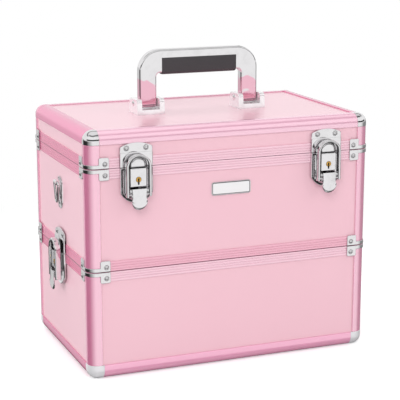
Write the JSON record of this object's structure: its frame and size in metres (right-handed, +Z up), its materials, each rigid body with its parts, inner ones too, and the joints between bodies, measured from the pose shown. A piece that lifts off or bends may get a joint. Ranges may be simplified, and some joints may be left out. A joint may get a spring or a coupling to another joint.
{
  "type": "makeup storage case",
  "caption": "Hard makeup storage case with a hinged lid and folding handle; the upper box latches on a lift-off base box.",
  "frame": {"origin": "under the middle of the whole object, at the level that it stands on", "axes": "+Z up, +X to the right seen from the front, the front with two latches faces -Y"},
  "size_m": [0.396, 0.2524, 0.3775],
  "materials": {
    "pink_board": "satin pink laminate",
    "pink_metal": "pink anodised",
    "pink_rim": "pink anodised, ribbed",
    "chrome": "bright chrome",
    "grip_rubber": "matt black",
    "brass": "polished",
    "lining": "black short pile",
    "tray_plastic": "satin",
    "mirror_glass": "silvered",
    "nameplate": "satin, blank"
  },
  "bodies": {
    "base": {"base_floor_panel": "pink_board", "base_front_rear_panels": "pink_board", "base_side_panels": "pink_board", "base_corner_posts": "pink_metal", "base_bottom_frame": "pink_metal", "base_top_rim": "pink_rim", "base_corner_caps": "chrome", "base_corner_plates": "chrome", "base_lining": "lining", "base_side_latch_plates": "chrome", "base_side_latch_pins": "chrome"},
    "upper_box": {"middle_floor_panel": "pink_board", "middle_front_rear_panels": "pink_board", "middle_side_panels": "pink_board", "middle_corner_posts": "pink_metal", "middle_bottom_rim": "pink_rim", "middle_top_rim": "pink_rim", "middle_corner_plates": "chrome", "middle_lining": "lining", "middle_tray": "tray_plastic", "middle_tray_rails": "tray_plastic", "middle_nameplate": "nameplate", "middle_hinge_leaves": "chrome", "middle_hinge_pins": "chrome", "middle_front_latch_plates": "chrome", "middle_front_latch_pins": "chrome", "middle_side_catches": "chrome", "middle_strap_brackets": "chrome"},
    "lid": {"lid_top_panel": "pink_board", "lid_front_rear_panels": "pink_board", "lid_side_panels": "pink_board", "lid_corner_posts": "pink_metal", "lid_top_frame": "pink_metal", "lid_rim": "pink_rim", "lid_front_corner_caps": "chrome", "lid_rear_corner_caps": "pink_metal", "lid_corner_plates": "chrome", "lid_mirror": "mirror_glass", "lid_hinge_leaves": "chrome", "lid_handle_brackets": "chrome", "lid_handle_pins": "chrome", "lid_front_catches": "chrome"},
    "handle": {"handle_bow": "chrome", "handle_grip": "grip_rubber"},
    "front_lever_left": {"front_lever_left": "chrome"},
    "front_hoop_left": {"front_hoop_left": "chrome"},
    "front_lock_cylinder_left": {"front_lock_cylinder_left": "brass"},
    "front_lever_right": {"front_lever_right": "chrome"},
    "front_hoop_right": {"front_hoop_right": "chrome"},
    "front_lock_cylinder_right": {"front_lock_cylinder_right": "brass"},
    "side_lever_left": {"side_lever_left": "chrome"},
    "side_hoop_left": {"side_hoop_left": "chrome"},
    "side_lock_cylinder_left": {"side_lock_cylinder_left": "brass"},
    "side_lever_right": {"side_lever_right": "chrome"},
    "side_hoop_right": {"side_hoop_right": "chrome"},
    "side_lock_cylinder_right": {"side_lock_cylinder_right": "brass"},
    "strap_ring_left": {"strap_ring_left": "chrome"},
    "strap_ring_right": {"strap_ring_right": "chrome"}
  },
  "joints": [
    {"name": "upper_box_lift", "type": "slide", "parent": "base", "child": "upper_box", "axis": [0, 0, 1], "range_m": [0, 0.2]},
    {"name": "lid_hinge", "type": "hinge", "parent": "upper_box", "child": "lid", "pos_m": [0, 0.1228, 0.256], "axis": [-1, 0, 0], "range_deg": [0, 100]},
    {"name": "handle_fold", "type": "hinge", "parent": "lid", "child": "handle", "pos_m": [0, 0.0038, 0.3115], "axis": [1, 0, 0], "range_deg": [-90, 90]},
    {"name": "front_lever_left_turn", "type": "hinge", "parent": "upper_box", "child": "front_lever_left", "pos_m": [-0.123, -0.1202, 0.229], "axis": [-1, 0, 0], "range_deg": [0, 90]},
    {"name": "front_hoop_left_turn", "type": "hinge", "parent": "front_lever_left", "child": "front_hoop_left", "pos_m": [-0.123, -0.121, 0.2248], "axis": [-1, 0, 0], "range_deg": [-108, 0]},
    {"name": "front_lock_cylinder_left_turn", "type": "hinge", "parent": "upper_box", "child": "front_lock_cylinder_left", "pos_m": [-0.123, -0.1172, 0.2425], "axis": [0, -1, 0], "range_deg": [0, 90]},
    {"name": "side_lever_left_turn", "type": "hinge", "parent": "base", "child": "side_lever_left", "pos_m": [-0.192, 0.0038, 0.106], "axis": [0, 1, 0], "range_deg": [0, 90]},
    {"name": "side_hoop_left_turn", "type": "hinge", "parent": "side_lever_left", "child": "side_hoop_left", "pos_m": [-0.1928, 0.0038, 0.1018], "axis": [0, 1, 0], "range_deg": [-108, 0]},
    {"name": "side_lock_cylinder_left_turn", "type": "hinge", "parent": "base", "child": "side_lock_cylinder_left", "pos_m": [-0.189, 0.0038, 0.1195], "axis": [-1, 0, 0], "range_deg": [0, 90]},
    {"name": "strap_ring_left_swing", "type": "hinge", "parent": "upper_box", "child": "strap_ring_left", "pos_m": [-0.1867, 0.0038, 0.22], "axis": [0, 1, 0], "range_deg": [0, 165]},
    {"name": "front_lever_right_turn", "type": "hinge", "parent": "upper_box", "child": "front_lever_right", "pos_m": [0.123, -0.1202, 0.229], "axis": [-1, 0, 0], "range_deg": [0, 90]},
    {"name": "front_hoop_right_turn", "type": "hinge", "parent": "front_lever_right", "child": "front_hoop_right", "pos_m": [0.123, -0.121, 0.2248], "axis": [-1, 0, 0], "range_deg": [-108, 0]},
    {"name": "front_lock_cylinder_right_turn", "type": "hinge", "parent": "upper_box", "child": "front_lock_cylinder_right", "pos_m": [0.123, -0.1172, 0.2425], "axis": [0, -1, 0], "range_deg": [0, 90]},
    {"name": "side_lever_right_turn", "type": "hinge", "parent": "base", "child": "side_lever_right", "pos_m": [0.192, 0.0038, 0.106], "axis": [0, -1, 0], "range_deg": [0, 90]},
    {"name": "side_hoop_right_turn", "type": "hinge", "parent": "side_lever_right", "child": "side_hoop_right", "pos_m": [0.1928, 0.0038, 0.1018], "axis": [0, -1, 0], "range_deg": [-108, 0]},
    {"name": "side_lock_cylinder_right_turn", "type": "hinge", "parent": "base", "child": "side_lock_cylinder_right", "pos_m": [0.189, 0.0038, 0.1195], "axis": [1, 0, 0], "range_deg": [0, 90]},
    {"name": "strap_ring_right_swing", "type": "hinge", "parent": "upper_box", "child": "strap_ring_right", "pos_m": [0.1867, 0.0038, 0.22], "axis": [0, -1, 0], "range_deg": [0, 165]}
  ],
  "couplings": [
    {"joint": "front_hoop_left_turn", "follows": "front_lever_left_turn", "ratio": -1.2},
    {"joint": "side_hoop_left_turn", "follows": "side_lever_left_turn", "ratio": -1.2},
    {"joint": "front_hoop_right_turn", "follows": "front_lever_right_turn", "ratio": -1.2},
    {"joint": "side_hoop_right_turn", "follows": "side_lever_right_turn", "ratio": -1.2}
  ]
}
